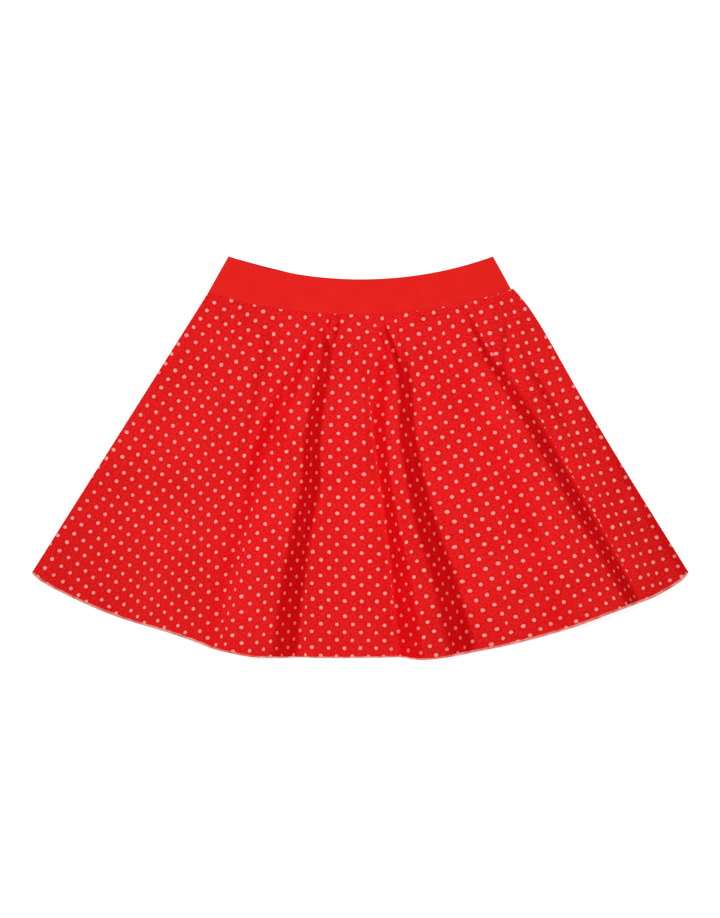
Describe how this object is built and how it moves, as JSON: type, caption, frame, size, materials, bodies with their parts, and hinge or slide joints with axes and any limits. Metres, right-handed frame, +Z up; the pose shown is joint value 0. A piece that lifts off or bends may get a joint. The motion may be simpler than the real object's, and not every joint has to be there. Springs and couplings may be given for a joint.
{
  "type": "a-line skirt",
  "caption": "Short flared A-line skirt of dotted jersey with a plain elastic waistband, laid flat, its flare standing up in soft flutes.",
  "frame": {"origin": "on the surface that the skirt lies on, in the middle of its plan", "axes": "+Z up, away from the surface; +Y from the hem towards the waist; +X to the wearer's left, which is the viewer's right"},
  "size_m": [0.7557, 0.4632, 0.0347],
  "materials": {
    "dotted_jersey": "matte fine-grained red jersey with a print of small pale pink dots",
    "plain_waistband": "matte plain red ribbed elastic",
    "hem_thread": "matte pale pink thread"
  },
  "bodies": {
    "root": {"front_panel": "dotted_jersey", "back_panel": "dotted_jersey", "waistband_front": "plain_waistband", "waistband_back": "plain_waistband"}
  },
  "joints": []
}
